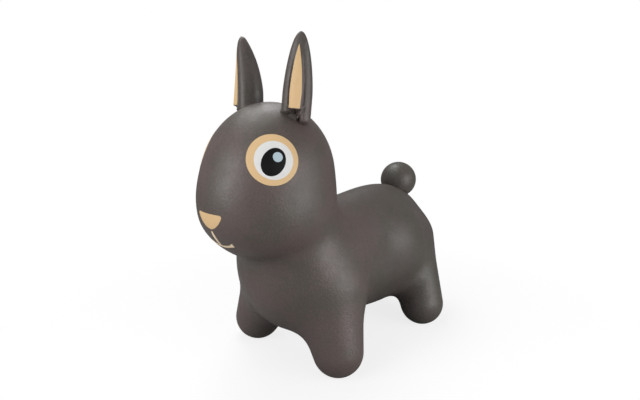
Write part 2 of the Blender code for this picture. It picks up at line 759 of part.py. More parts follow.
def nose_edge():
    """The nose's outline: a straight top edge with round corners over a full, round-tipped triangle."""
    top = HEAD_Z - NOSE_DROP
    power = 2.0 / NOSE_FULLNESS
    start = math.asin((NOSE_CORNER / NOSE_HEIGHT) ** (1.0 / power))
    outline = []
    for index in range(NOSE_CURVE_POINTS + 1):
        angle = start + (math.pi - 2.0 * start) * index / NOSE_CURVE_POINTS
        across = math.copysign(abs(math.cos(angle)) ** power, math.cos(angle))
        outline.append((NOSE_HALF_WIDTH * across, top - NOSE_HEIGHT * math.sin(angle) ** power))
    shoulder = outline[0][0] - NOSE_CORNER
    arc = [math.pi / 2.0 * (index + 1) / NOSE_CORNER_POINTS for index in range(NOSE_CORNER_POINTS)]
    inset = top - NOSE_CORNER
    corner = [(shoulder + NOSE_CORNER * math.cos(turn), inset + NOSE_CORNER * math.sin(turn)) for turn in arc]
    outline += [(-across, height) for across, height in corner]
    outline += corner[::-1]
    return evenly_spaced(np.array(outline), NOSE_POINTS)


def evenly_spaced(outline, count):
    """Points at equal steps round a closed outline."""
    closed = np.vstack((outline, outline[:1]))
    run = np.concatenate(([0.0], np.cumsum(np.linalg.norm(np.diff(closed, axis=0), axis=1))))
    stops = np.linspace(0.0, run[-1], count, endpoint=False)
    return np.stack([np.interp(stops, run, closed[:, axis]) for axis in (0, 1)], axis=1)


def build_nose():
    edge = nose_edge()
    middle = edge.mean(axis=0)
    rings = [[middle]] + [middle + (edge - middle) * (step + 1) / NOSE_STEPS for step in range(NOSE_STEPS)]
    return face_film("nose_print", rings, loft)


def build_mouth():
    """The line below the nose, and the smile that it runs down to."""
    top = nose_foot() - LIP_GAP
    foot = top - LIP_LENGTH
    smile = foot - GAP - SMILE_THICKNESS / 2.0
    rows = []
    for index in range(MOUTH_STEPS + 1):
        height = top + (foot - top) * index / MOUTH_STEPS
        rows.append([(-LIP_WIDTH / 2.0, height), (LIP_WIDTH / 2.0, height)])
    face_film("lip_line_print", rows, strip)
    rows = []
    for index in range(MOUTH_STEPS + 1):
        share = 2.0 * index / MOUTH_STEPS - 1.0
        height = smile + SMILE_RISE * share ** 2
        across = SMILE_HALF_WIDTH * share
        rows.append([(across, height - SMILE_THICKNESS / 2.0), (across, height + SMILE_THICKNESS / 2.0)])
    face_film("smile_print", rows, strip)


def main():
    clear_scene()
    build_skin()
    build_valve()
    for side, end in ((1.0, "_left"), (-1.0, "_right")):
        build_ear_root(side, "ear_root" + end)
        build_ear(side, "ear" + end)
        build_ear_print(side, "ear_print" + end)
        build_eye(side, end)
    build_nose()
    build_mouth()


main()
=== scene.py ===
"""Looks of an inflatable rabbit hopper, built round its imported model.

Units are metres and +Z is up. The rabbit faces -Y, its left side is +X, and it stands on z = 0.
"""
import math

import bpy
import numpy as np
from mathutils import Matrix, Vector


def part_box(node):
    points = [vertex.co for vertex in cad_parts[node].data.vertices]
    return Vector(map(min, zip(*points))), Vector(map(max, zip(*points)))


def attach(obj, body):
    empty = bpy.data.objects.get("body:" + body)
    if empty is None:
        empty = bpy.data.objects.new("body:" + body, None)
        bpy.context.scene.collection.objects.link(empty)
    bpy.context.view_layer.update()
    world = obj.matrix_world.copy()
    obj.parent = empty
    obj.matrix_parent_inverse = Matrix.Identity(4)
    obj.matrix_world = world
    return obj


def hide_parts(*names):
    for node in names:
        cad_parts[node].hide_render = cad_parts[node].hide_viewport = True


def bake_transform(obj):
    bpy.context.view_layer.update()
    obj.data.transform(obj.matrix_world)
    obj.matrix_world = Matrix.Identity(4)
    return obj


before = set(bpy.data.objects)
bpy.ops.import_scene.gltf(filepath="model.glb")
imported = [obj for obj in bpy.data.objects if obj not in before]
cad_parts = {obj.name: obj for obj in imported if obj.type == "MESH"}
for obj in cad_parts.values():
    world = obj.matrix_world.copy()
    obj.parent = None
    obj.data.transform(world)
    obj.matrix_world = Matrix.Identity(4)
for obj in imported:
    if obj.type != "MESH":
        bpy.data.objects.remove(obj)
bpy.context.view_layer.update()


# Air skin
# The body is one bag of soft grey PVC, moulded hollow and blown up with air. Head, chest, rump and legs run
# into each other without a seam, a ball tail sits on the rump, and the soles are flat where they stand.
HEAD = np.array((0.0, -0.1434, 0.310))
HEAD_HALF = np.array((0.096, 0.108, 0.119))
HEAD_TILT = math.radians(10.0)
CHEEKS_FROM_HEAD = np.array((0.0, 0.011, -0.053))
CHEEKS_HALF = np.array((0.080, 0.096, 0.043))
CHEEK_FILLET = 0.060
NECK_FILLET = 0.030
CHEST = np.array((0.0, -0.0869, 0.1524))
CHEST_HALF = np.array((0.101, 0.090, 0.1023))
RUMP = np.array((0.0, 0.1323, 0.1489))
RUMP_HALF = np.array((0.083, 0.127, 0.1143))
SADDLE_FILLET = 0.175
SHOULDER = np.array((0.034, -0.1054, 0.188))
SHOULDER_HALF = np.array((0.043, 0.043, 0.043))
HAUNCH = np.array((0.0423, 0.1296, 0.157))
HAUNCH_HALF = np.array((0.046, 0.046, 0.046))
SWELL_FILLET = 0.050
LEG_FILLET = 0.032
SOLE_CUT = 0.004
FRONT_HIP = np.array((0.060, -0.0764, 0.124))
FRONT_HIP_RADIUS = 0.059
FRONT_FOOT_RADIUS = 0.041
FRONT_FOOT = np.array((0.097, -0.0904, FRONT_FOOT_RADIUS - SOLE_CUT))
HIND_HIP = np.array((0.040, 0.1966, 0.152))
HIND_HIP_RADIUS = 0.0426
HIND_FOOT_RADIUS = 0.041
HIND_FOOT = np.array((0.092, 0.1636, HIND_FOOT_RADIUS - SOLE_CUT))
LEGS = (
    (FRONT_HIP, FRONT_HIP_RADIUS, FRONT_FOOT, FRONT_FOOT_RADIUS),
    (HIND_HIP, HIND_HIP_RADIUS, HIND_FOOT, HIND_FOOT_RADIUS),
)
TAIL = np.array((0.0, 0.2046, 0.264))
TAIL_RADIUS = 0.0353
TAIL_SEGMENTS = 96
TAIL_RINGS = 64
BALL_SEGMENTS = 48
BALL_RINGS = 32
SKIN_MESH = 0.0045
SKIN_SHARP_FROM = 35.0
RELAX_ROUNDS = 3
RELAX_SHARE = 0.5
RELAX_STEPS = 2
CUT_TOLERANCE = 1e-6
SLOPE_STEP = 0.0002
PRESS_ROUNDS = 8
TINY = 1e-9
SKIN_COLOURS = ((81, 75, 69), (93, 80, 78))
SKIN_ROUGHNESS = 0.46
SKIN_SHINE = 0.5
SKIN_GRAIN = 1.0
COOL_SHARE = (0.88, 0.95, 0.94, 1.0)
COOL_DRIFTS = (("Y", -0.03, 0.06), ("Z", 0.38, 0.44))
CLOUDS = {"Scale": 12.0, "Detail": 3.0, "Roughness": 0.55}
SPECKS = {"Scale": 300.0, "Detail": 3.0, "Roughness": 0.65}
PATCHES = {"Scale": 70.0, "Detail": 4.0, "Roughness": 0.6}
SPECK_SHARE = 0.5
TINT_STOPS = (0.44, 0.56)
GLOSS_FROM = (0.3, 0.7)
GLOSS_SPREAD = 0.07
GRAIN_DEPTH = 0.0005


def run_together(first, second, fillet):
    """Join two forms, given as distances, with a fillet that starts where they are this far apart."""
    overlap = np.maximum(fillet - np.abs(first - second), 0.0) / fillet
    return np.minimum(first, second) - overlap * overlap * fillet / 4.0


def ball_distance(points, middle, half):
    """Distance from points to a ball with a half size of its own each way."""
    inner = np.linalg.norm((points - middle) / half, axis=1)
    outer = np.linalg.norm((points - middle) / half ** 2, axis=1) + TINY
    return inner * (inner - 1.0) / outer


def limb_distance(points, hip, hip_radius, foot, foot_radius):
    """Distance from points to a tapered limb with round ends."""
    length = np.linalg.norm(foot - hip)
    axis = (foot - hip) / length
    slant = (hip_radius - foot_radius) / length
    along = (points - hip) @ axis
    across = np.sqrt(np.maximum(((points - hip) ** 2).sum(axis=1) - along ** 2, 0.0))
    share = np.clip((along - across * slant / math.sqrt(1.0 - slant * slant)) / length, 0.0, 1.0)
    return np.hypot(across, along - share * length) - hip_radius - (foot_radius - hip_radius) * share


def skin_distance(points):
    """Distance from points to the outside of the skin without its tail, negative inside it."""
    chest = ball_distance(points, CHEST, CHEST_HALF)
    rump = ball_distance(points, RUMP, RUMP_HALF)
    form = run_together(chest, rump, SADDLE_FILLET)
    left_side = np.abs(points) * (1.0, 0.0, 0.0) + points * (0.0, 1.0, 1.0)
    for leg in LEGS:
        form = run_together(form, limb_distance(left_side, *leg), LEG_FILLET)
    upright = (points - HEAD) @ np.array(Matrix.Rotation(-HEAD_TILT, 3, "X"))
    skull = ball_distance(upright, np.zeros(3), HEAD_HALF)
    cheeks = ball_distance(upright, CHEEKS_FROM_HEAD, CHEEKS_HALF)
    form = run_together(form, run_together(skull, cheeks, CHEEK_FILLET), NECK_FILLET)
    form = run_together(form, ball_distance(left_side, SHOULDER, SHOULDER_HALF), SWELL_FILLET)
    return run_together(form, ball_distance(left_side, HAUNCH, HAUNCH_HALF), SWELL_FILLET)


def skin_slope(points):
    """Outward slope of the skin's distance."""
    slopes = []
    for step in np.eye(3) * SLOPE_STEP:
        slopes.append((skin_distance(points + step) - skin_distance(points - step)) / (2.0 * SLOPE_STEP))
    return np.stack(slopes, axis=1)


def press_onto_skin(points, along=None):
    """Slide points onto the skin, the nearest way or along one direction."""
    pressed = np.array(points, dtype=float).reshape(-1, 3)
    for _ in range(PRESS_ROUNDS):
        miss = skin_distance(pressed)
        slope = skin_slope(pressed)
        if along is None:
            pressed = pressed - slope * (miss / (slope ** 2).sum(axis=1))[:, None]
        else:
            pressed = pressed - np.outer(miss / (slope @ along), along)
    return pressed


def take(piece):
    """Select one piece alone and make it active."""
    bpy.ops.object.select_all(action="DESELECT")
    piece.select_set(True)
    bpy.context.view_layer.objects.active = piece


def add_ball(middle, half, tilt=0.0):
    """Add a ball of the rough form, with its place and size in its mesh."""
    bpy.ops.object.select_all(action="DESELECT")
    bpy.ops.mesh.primitive_uv_sphere_add(
        segments=BALL_SEGMENTS, ring_count=BALL_RINGS, radius=1.0,
        location=middle, rotation=(tilt, 0.0, 0.0), scale=half,
    )
    bpy.ops.object.transform_apply(location=True, rotation=True, scale=True)
    return bpy.context.object


def join(pieces, name):
    """Join pieces into the first of them."""
    take(pieces[0])
    for piece in pieces:
        piece.select_set(True)
    bpy.ops.object.join()
    pieces[0].name = name
    pieces[0].data.name = name
    return pieces[0]


def wrap(balls):
    """Pull one taut hull round some balls."""
    hull = join(balls, "hull")
    bpy.ops.object.mode_set(mode="EDIT")
    bpy.ops.mesh.select_all(action="SELECT")
    bpy.ops.mesh.convex_hull()
    bpy.ops.object.mode_set(mode="OBJECT")
    return hull


def apply_modifier(piece, kind, **settings):
    """Give a piece one modifier and apply it."""
    take(piece)
    modifier = piece.modifiers.new(kind.lower(), kind)
    for setting, value in settings.items():
        setattr(modifier, setting, value)
    bpy.ops.object.modifier_apply(modifier=modifier.name)


def read_points(piece):
    """The points of a piece's mesh."""
    points = np.empty(len(piece.data.vertices) * 3)
    piece.data.vertices.foreach_get("co", points)
    return points.reshape(-1, 3)


def write_points(piece, points):
    """Move the points of a piece's mesh."""
    piece.data.vertices.foreach_set("co", points.ravel())
    piece.data.update()


def shape_with(piece, operation, tool):
    """Join a tool's shape to a piece or cut it away, and remove the tool."""
    apply_modifier(piece, "BOOLEAN", operation=operation, solver="EXACT", object=tool)
    bpy.data.objects.remove(tool)


def shade(piece, sharp_from):
    """Shade a piece smooth, apart from edges sharper than this."""
    take(piece)
    bpy.ops.object.shade_smooth_by_angle(angle=math.radians(sharp_from))


cheeks_middle = HEAD + Matrix.Rotation(-HEAD_TILT, 3, "X") @ Vector(CHEEKS_FROM_HEAD)
rough = [
    add_ball(HEAD, HEAD_HALF, -HEAD_TILT),
    add_ball(cheeks_middle, CHEEKS_HALF, -HEAD_TILT),
    wrap([add_ball(CHEST, CHEST_HALF), add_ball(RUMP, RUMP_HALF)]),
]
for hip, hip_radius, foot, foot_radius in LEGS:
    for side in ((1.0, 1.0, 1.0), (-1.0, 1.0, 1.0)):
        rough.append(wrap([
            add_ball(hip * side, (hip_radius,) * 3),
            add_ball(foot * side, (foot_radius,) * 3),
        ]))
skin = join(rough, "air_skin")
skin.data.remesh_voxel_size = SKIN_MESH
bpy.ops.object.voxel_remesh()
for _ in range(RELAX_ROUNDS):
    write_points(skin, press_onto_skin(read_points(skin)))
    apply_modifier(skin, "SMOOTH", factor=RELAX_SHARE, iterations=RELAX_STEPS)
write_points(skin, press_onto_skin(read_points(skin)))
bpy.ops.object.mode_set(mode="EDIT")
bpy.ops.mesh.select_all(action="SELECT")
bpy.ops.mesh.bisect(
    plane_co=(0.0, 0.0, 0.0), plane_no=(0.0, 0.0, 1.0),
    use_fill=True, clear_inner=True, threshold=CUT_TOLERANCE,
)
bpy.ops.object.mode_set(mode="OBJECT")
bpy.ops.object.select_all(action="DESELECT")
bpy.ops.mesh.primitive_uv_sphere_add(
    segments=TAIL_SEGMENTS, ring_count=TAIL_RINGS, radius=TAIL_RADIUS, location=TAIL,
)
shape_with(skin, "UNION", bpy.context.object)
shade(skin, SKIN_SHARP_FROM)


def screen(colour):
    """A 0 to 255 screen colour as linear light."""
    shares = [channel / 255.0 for channel in colour]
    linear = [share / 12.92 if share <= 0.04045 else ((share + 0.055) / 1.055) ** 2.4 for share in shares]
    return (*linear, 1.0)


def add_node(finish, kind, **inputs):
    """Add a node to a finish and set its inputs, named with _ for spaces."""
    node = finish.node_tree.nodes.new(kind)
    for name, value in inputs.items():
        node.inputs[name.replace("_", " ")].default_value = value
    return node


def soft_plastic(name, colours, roughness, shine, grain):
    """Soft satin plastic: two colours in clouds and specks, patchy gloss and a fine moulded grain."""
    finish = bpy.data.materials.new(name)
    finish.use_nodes = True
    shader = finish.node_tree.nodes["Principled BSDF"]
    shader.inputs["Specular IOR Level"].default_value = shine
    links = finish.node_tree.links
    place = add_node(finish, "ShaderNodeTexCoord")
    clouds = add_node(finish, "ShaderNodeTexNoise", **CLOUDS)
    specks = add_node(finish, "ShaderNodeTexNoise", **SPECKS)
    blotches = add_node(finish, "ShaderNodeMix", Factor=SPECK_SHARE)
    tint = add_node(finish, "ShaderNodeValToRGB")
    for stop, position, colour in zip(tint.color_ramp.elements, TINT_STOPS, colours):
        stop.position = position
        stop.color = screen(colour)
    patches = add_node(finish, "ShaderNodeTexNoise", **PATCHES)
    gloss = add_node(
        finish, "ShaderNodeMapRange", From_Min=GLOSS_FROM[0], From_Max=GLOSS_FROM[1],
        To_Min=roughness - GLOSS_SPREAD, To_Max=roughness + GLOSS_SPREAD,
    )
    bump = add_node(finish, "ShaderNodeBump", Strength=grain, Distance=GRAIN_DEPTH)
    for pattern in (clouds, patches, specks):
        links.new(place.outputs["Object"], pattern.inputs["Vector"])
    links.new(clouds.outputs["Fac"], blotches.inputs["A"])
    links.new(specks.outputs["Fac"], blotches.inputs["B"])
    links.new(blotches.outputs["Result"], tint.inputs["Fac"])
    links.new(tint.outputs["Color"], shader.inputs["Base Color"])
    links.new(patches.outputs["Fac"], gloss.inputs["Value"])
    links.new(gloss.outputs["Result"], shader.inputs["Roughness"])
    links.new(specks.outputs["Fac"], bump.inputs["Height"])
    links.new(bump.outputs["Normal"], shader.inputs["Normal"])
    return finish


def dress(piece, finish, slot, *nodes):
    """Give a piece its finish and hide the nodes that it stands for. Its slot is not used."""
    piece.data.materials.clear()
    piece.data.materials.append(finish)
    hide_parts(*nodes)


vinyl = soft_plastic("grey_vinyl", SKIN_COLOURS, SKIN_ROUGHNESS, SKIN_SHINE, SKIN_GRAIN)
vinyl_shader = vinyl.node_tree.nodes["Principled BSDF"]
vinyl_links = vinyl.node_tree.links
vinyl_place = add_node(vinyl, "ShaderNodeTexCoord")
vinyl_axes = add_node(vinyl, "ShaderNodeSeparateXYZ")
vinyl_links.new(vinyl_place.outputs["Object"], vinyl_axes.inputs["Vector"])
# The vinyl turns greener and a little darker towards the rear and over the top of the head and the ears.
cool = add_node(vinyl, "ShaderNodeMath")
cool.operation = "MAXIMUM"
for (axis, start, end), towards in zip(COOL_DRIFTS, cool.inputs):
    drift = add_node(vinyl, "ShaderNodeMapRange", From_Min=start, From_Max=end)
    vinyl_links.new(vinyl_axes.outputs[axis], drift.inputs["Value"])
    vinyl_links.new(drift.outputs["Result"], towards)
drifted = add_node(vinyl, "ShaderNodeMix")
drifted.data_type = "RGBA"
drifted.blend_type = "MULTIPLY"
mix_sockets = {socket.identifier: socket for socket in (*drifted.inputs, *drifted.outputs)}
mix_sockets["B_Color"].default_value = COOL_SHARE
vinyl_links.new(cool.outputs["Value"], mix_sockets["Factor_Float"])
vinyl_links.new(vinyl_shader.inputs["Base Color"].links[0].from_socket, mix_sockets["A_Color"])
vinyl_links.new(mix_sockets["Result_Color"], vinyl_shader.inputs["Base Color"])
dress(skin, vinyl, "skin_pvc", "skin")
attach(skin, "body")


# Ears
# Each ear is a hollow horn of the same PVC, moulded onto the head, that the rider holds. Its back is round.
# Its front has a domed pad, printed with a tan leaf, between two rims that curl in under it to the head.
EAR_PIVOT = np.array((0.05367, -0.1330, 0.43875))
EAR_TURN = math.radians(38.0)
EAR_LEAN_OUT = math.radians(3.0)
EAR_LEAN_BACK = math.radians(4.0)
EAR_LENGTH = 0.087
EAR_HALF_WIDTH = 0.0214
EAR_BACK = 0.0220
EAR_FRONT = 0.0185
EAR_WIDEST = 0.40
EAR_SQUARENESS = 2.7
EAR_TAPER = 1.5
EAR_TIP_BACK = 0.0065
EAR_TIP_BEND = 12
PAD_HEIGHT = 0.00465
PAD_TAPER = 1.3
PAD_SQUARENESS = 3
PAD_TOP = 0.072
PAD_FOOT = -0.0205
PAD_FOOT_ROLL = 0.0022
PAD_INNER_MARGIN = 0.0008
PAD_OUTER_MARGIN = 0.0034
GROOVE_DEPTH = 0.0012
GROOVE_WIDTH = 0.0010
GROOVE_TOP = 0.056
GROOVE_FADE = 0.020
TUCK_START = -0.019
TUCK_LENGTH = 0.008
TUCK_DEPTH = 0.0105
INNER_RIM_DROP = 0.003
INNER_RIM_FROM = 0.008
INNER_RIM_FADE = 0.004
OUTER_RIM_DROP = 0.015
OUTER_RIM_FROM = 0.004
OUTER_RIM_FADE = 0.008
RELIEF_EDGE = 0.5
HOLLOW_HALF_WIDTH = 0.0098
HOLLOW_TOP = -0.0175
HOLLOW_HEIGHT = 0.0092
HOLLOW_DEPTH = 0.0026
HOLLOW_SLOPE = 0.3
HOLLOW_BROW = 0.0015
SLIT_DEPTH = 0.0030
SLIT_WIDTH = 0.0009
SLIT_SLOPE = 0.2
CURL_HEIGHT = 0.0022
CURL_HALF_WIDTH = 0.0014
CURL_REACH = 1.1
CURL_TOP = -0.012
CURL_END = 0.006
CURL_FADE = 0.006
RIDGE_TOP = np.array((0.0115, -0.012))
RIDGE_FOOT = np.array((0.0045, -0.031))
RIDGE_HEIGHT = 0.0018
RIDGE_VALLEY = 0.8
RIDGE_VALLEY_OFF = 0.0031
RIDGE_RISE = 0.25
RIDGE_END = 1.15
RIDGE_FALL = 0.15
FOOT_SINK = 0.004
FOOT_ROLL = 0.0018
FOOT_ROLL_REACH = 0.006
FOOT_TURN_IN = 0.012
FOOT_TURN_REACH = 0.014
FOOT_TURN_FROM = 0.001
FOOT_TURN_FADE = 0.008
FOOT_TURN_BACK = 0.010
FOOT_SEARCH_ROUNDS = 80
EAR_POINTS = 160
EAR_OUTLINE_STEPS = 721
EAR_FOOT_RINGS = 56
EAR_HORN_RINGS = 76
EAR_SHARP_FROM = 60.0
FRONT_TOLERANCE = 1e-6
EAR_PRINT_TOP = 0.070
EAR_PRINT_FOOT = -0.0172
EAR_PRINT_HALF_WIDTH = 0.0090
EAR_PRINT_SHIFT = -0.0008
EAR_PRINT_POINT = 2.4
EAR_PRINT_FULLNESS = 0.95
EAR_PRINT_FOOT_SHARE = 0.90
EAR_PRINT_FOOT_REACH = 0.28
EAR_PRINT_COLUMNS = 20
EAR_PRINT_ROWS = 90
TANS = ((220, 187, 140), (223, 189, 143))
INK_ROUGHNESS = 0.45
INK_SHINE = 0.18
INK_GRAIN = 0.2
FILM = 0.0002
FILM_SINK = 0.0003
FILM_WELD = 0.00002
FILM_SHARP_FROM = 40.0


def ease(share):
    """0 below 0, 1 above 1, and a smooth rise between."""
    share = np.clip(share, 0.0, 1.0)
    return share * share * (3.0 - 2.0 * share)


def ridge(gap, half_width):
    """A round ridge, 1 high, at no gap from its line."""
    return np.exp(-(gap / half_width) ** 2)


def narrowing(height):
    """Share of its full section that an ear has at a height above its pivot."""
    share = np.clip(height / EAR_LENGTH, 0.0, 1.0)
    return np.sqrt(1.0 - share ** EAR_TAPER)


def print_half_width(height):
    """Half the width of the tan leaf, widest near its foot and pointed at its top."""
    share = np.clip((height - EAR_PRINT_FOOT) / (EAR_PRINT_TOP - EAR_PRINT_FOOT), 0.0, 1.0)
    foot = EAR_PRINT_FOOT_SHARE + (1.0 - EAR_PRINT_FOOT_SHARE) * ease(share / EAR_PRINT_FOOT_REACH)
    return EAR_PRINT_HALF_WIDTH * (1.0 - share ** EAR_PRINT_POINT) ** EAR_PRINT_FULLNESS * foot


def ear_front(height):
    """Where the rims of an ear's front lie: they bend back at the tip."""
    return EAR_TIP_BACK * np.clip(height / EAR_LENGTH, 0.0, 1.0) ** EAR_TIP_BEND - EAR_FRONT


def front_relief(across, height):
    """How far a left ear's front stands out of its plain form. Across is negative on its inner side."""
    half_print = print_half_width(height)
    half_pad = half_print + (PAD_INNER_MARGIN + PAD_OUTER_MARGIN) / 2.0
    pad_middle = EAR_PRINT_SHIFT + (PAD_OUTER_MARGIN - PAD_INNER_MARGIN) / 2.0
    off_middle = np.abs(across - pad_middle) / half_pad
    above_foot = ease((height - PAD_FOOT) / PAD_FOOT_ROLL)
    pad = PAD_HEIGHT * np.clip(1.0 - height / PAD_TOP, 0.0, None) ** PAD_TAPER
    pad = pad * np.clip(1.0 - off_middle ** PAD_SQUARENESS, 0.0, 1.0) * above_foot
    groove = GROOVE_DEPTH * ridge((off_middle - 1.0) * half_pad, GROOVE_WIDTH)
    groove = groove * ease((GROOVE_TOP - height) / GROOVE_FADE) * above_foot
    reach = np.hypot(across / HOLLOW_HALF_WIDTH, (height - HOLLOW_TOP) / HOLLOW_HEIGHT)
    below_pad = ease((HOLLOW_TOP - height) / HOLLOW_BROW)
    hollow = HOLLOW_DEPTH * ease((1.0 - reach) / HOLLOW_SLOPE) * below_pad
    slit = SLIT_DEPTH * ridge(across, SLIT_WIDTH) * ease((1.0 - reach) / SLIT_SLOPE) * below_pad
    curl = CURL_HEIGHT * ridge((reach - CURL_REACH) * HOLLOW_HALF_WIDTH, CURL_HALF_WIDTH)
    curl = curl * ease((CURL_TOP - height) / CURL_FADE) * ease((CURL_END - across) / CURL_FADE)
    run = RIDGE_FOOT - RIDGE_TOP
    along = ((across - RIDGE_TOP[0]) * run[0] + (height - RIDGE_TOP[1]) * run[1]) / (run @ run)
    beside = ((across - RIDGE_TOP[0]) * run[1] - (height - RIDGE_TOP[1]) * run[0]) / np.linalg.norm(run)
    valley = RIDGE_VALLEY * ridge(beside + RIDGE_VALLEY_OFF, CURL_HALF_WIDTH)
    fold = RIDGE_HEIGHT * (ridge(beside, CURL_HALF_WIDTH) - valley)
    fold = fold * ease(along / RIDGE_RISE) * ease((RIDGE_END - along) / RIDGE_FALL)
    return pad - groove - hollow - slit + curl + fold


def ear_surface(across, height):
    """Depth of the front of a left ear, relief included, at a place across it and up it."""
    size = narrowing(height)
    widest = ear_front(height) + (EAR_BACK + EAR_FRONT) * size * EAR_WIDEST
    rim_drop = INNER_RIM_DROP * ease((-across - INNER_RIM_FROM) / INNER_RIM_FADE)
    rim_drop = rim_drop + OUTER_RIM_DROP * ease((across - OUTER_RIM_FROM) / OUTER_RIM_FADE)
    front = ear_front(height) + TUCK_DEPTH * ease((TUCK_START - rim_drop - height) / TUCK_LENGTH)
    share = np.clip(np.abs(across) / (EAR_HALF_WIDTH * size + TINY), 0.0, 1.0)
    bulge = (1.0 - share ** EAR_SQUARENESS) ** (1.0 / EAR_SQUARENESS)
    return widest - (widest - front) * bulge - front_relief(across, height) * ease(bulge / RELIEF_EDGE)


def ear_ring(heights):
    """Points round a left ear, one at each of these heights."""
    level = float(np.mean(heights))
    size = narrowing(level)
    front = ear_front(level)
    depth = (EAR_BACK + EAR_FRONT) * size
    angle = np.linspace(-math.pi, math.pi, EAR_OUTLINE_STEPS)
    power = np.where(angle < 0.0, 2.0 / EAR_SQUARENESS, 1.0)
    across = EAR_HALF_WIDTH * size * np.sign(np.cos(angle)) * np.abs(np.cos(angle)) ** power
    reach = np.where(angle < 0.0, depth * EAR_WIDEST, depth * (1.0 - EAR_WIDEST))
    back = front + depth * EAR_WIDEST + reach * np.sign(np.sin(angle)) * np.abs(np.sin(angle)) ** power
    run = np.concatenate(([0.0], np.cumsum(np.hypot(np.diff(across), np.diff(back)))))
    stops = np.linspace(0.0, run[-1], EAR_POINTS, endpoint=False)
    across = np.interp(stops, run, across)
    back = np.interp(stops, run, back)
    on_front = back < front + depth * EAR_WIDEST - FRONT_TOLERANCE
    return np.stack((across, np.where(on_front, ear_surface(across, heights), back), heights), axis=1)


ear_lean = Matrix.Rotation(-EAR_LEAN_BACK, 3, "X") @ Matrix.Rotation(EAR_LEAN_OUT, 3, "Y")
EAR_FRAME = np.array(ear_lean @ Matrix.Rotation(EAR_TURN, 3, "Z"))


def on_head(points, side):
    """Points of the left ear's own frame in the rabbit's frame, mirrored for the right ear."""
    return (points @ EAR_FRAME.T + EAR_PIVOT) * (side, 1.0, 1.0)


def head_below(ring):
    """How far below the left ear's pivot the head's skin lies under each point of a ring."""
    start = on_head(ring * (1.0, 1.0, 0.0), 1.0)
    drop = np.zeros(len(ring))
    for _ in range(FOOT_SEARCH_ROUNDS):
        drop = drop + skin_distance(start - np.outer(drop, EAR_FRAME[:, 2]))
    return -drop


def make_mesh(name, points, faces):
    """Add a mesh of points and faces, facing outwards."""
    mesh = bpy.data.meshes.new(name)
    mesh.from_pydata([tuple(point) for point in points], [], faces)
    piece = bpy.data.objects.new(name, mesh)
    bpy.context.collection.objects.link(piece)
    take(piece)
    bpy.ops.object.mode_set(mode="EDIT")
    bpy.ops.mesh.select_all(action="SELECT")
    bpy.ops.mesh.normals_make_consistent(inside=False)
    bpy.ops.object.mode_set(mode="OBJECT")
    return piece


def ring_faces(rings, points):
    """Faces between rings of points that close on themselves, first ring first."""
    faces = []
    for ring in range(rings - 1):
        for index in range(points):
            after = (index + 1) % points
            faces.append((
                ring * points + index, ring * points + after,
                (ring + 1) * points + after, (ring + 1) * points + index,
            ))
    return faces


def build_ear(side, name):
    """One ear, from inside the head up to its tip."""
    foot = head_below(ear_ring(np.full(EAR_POINTS, TUCK_START - TUCK_LENGTH))) - FOOT_SINK
    rings = []
    for index in range(EAR_FOOT_RINGS):
        rings.append(ear_ring(foot * (1.0 - index / EAR_FOOT_RINGS)))
    for index in range(EAR_HORN_RINGS):
        height = EAR_LENGTH * math.sin(math.pi / 2.0 * index / EAR_HORN_RINGS)
        rings.append(ear_ring(np.full(EAR_POINTS, height)))
    points = np.vstack(rings)
    outwards = points * (1.0, 1.0, 0.0)
    outwards = outwards / (np.linalg.norm(outwards, axis=1) + TINY)[:, None]
    above_head = skin_distance(on_head(points, 1.0))
    outer_front = ease((points[:, 0] - FOOT_TURN_FROM) / FOOT_TURN_FADE)
    outer_front = outer_front * ease((FOOT_TURN_BACK - points[:, 1]) / FOOT_TURN_BACK)
    flare = 1.0 - np.clip(above_head / FOOT_ROLL_REACH, 0.0, 1.0)
    turn_in = 1.0 - np.clip(above_head / FOOT_TURN_REACH, 0.0, 1.0)
    roll = FOOT_ROLL * (1.0 - outer_front) * flare ** 2
    roll = roll - FOOT_TURN_IN * outer_front * (1.0 - np.sqrt(1.0 - turn_in ** 2))
    points = points + outwards * roll[:, None]
    tip = np.array([(0.0, ear_front(EAR_LENGTH), EAR_LENGTH)])
    sole = points[:EAR_POINTS].mean(axis=0)[None]
    points = on_head(np.vstack((points, tip, sole)), side)
    count = EAR_FOOT_RINGS + EAR_HORN_RINGS
    faces = ring_faces(count, EAR_POINTS)
    last = (count - 1) * EAR_POINTS
    for index in range(EAR_POINTS):
        after = (index + 1) % EAR_POINTS
        faces.append((last + index, last + after, count * EAR_POINTS))
        faces.append((after, index, count * EAR_POINTS + 1))
    ear = make_mesh(name, points, faces)
    shade(ear, EAR_SHARP_FROM)
    return ear


def film_mesh(name, top, under, columns, closed):
    """A thin closed film between two sheets of points in rows, each row open or closed on itself."""
    rows = len(top) // columns
    spans = columns if closed else columns - 1
    faces = []
    for row in range(rows - 1):
        for index in range(spans):
            after = (index + 1) % columns
            face = (
                row * columns + index, row * columns + after,
                (row + 1) * columns + after, (row + 1) * columns + index,
            )
            faces.append(face)
            faces.append(tuple(len(top) + corner for corner in reversed(face)))
    for row in (0, rows - 1):
        for index in range(spans):
            first = row * columns + index
            second = row * columns + (index + 1) % columns
            faces.append((first, second, len(top) + second, len(top) + first))
    if not closed:
        for row in range(rows - 1):
            for first in (row * columns, row * columns + columns - 1):
                second = first + columns
                faces.append((first, second, len(top) + second, len(top) + first))
    film = make_mesh(name, np.vstack((top, under)), faces)
    take(film)
    bpy.ops.object.mode_set(mode="EDIT")
    bpy.ops.mesh.select_all(action="SELECT")
    bpy.ops.mesh.remove_doubles(threshold=FILM_WELD)
    bpy.ops.mesh.normals_make_consistent(inside=False)
    bpy.ops.object.mode_set(mode="OBJECT")
    shade(film, FILM_SHARP_FROM)
    return film


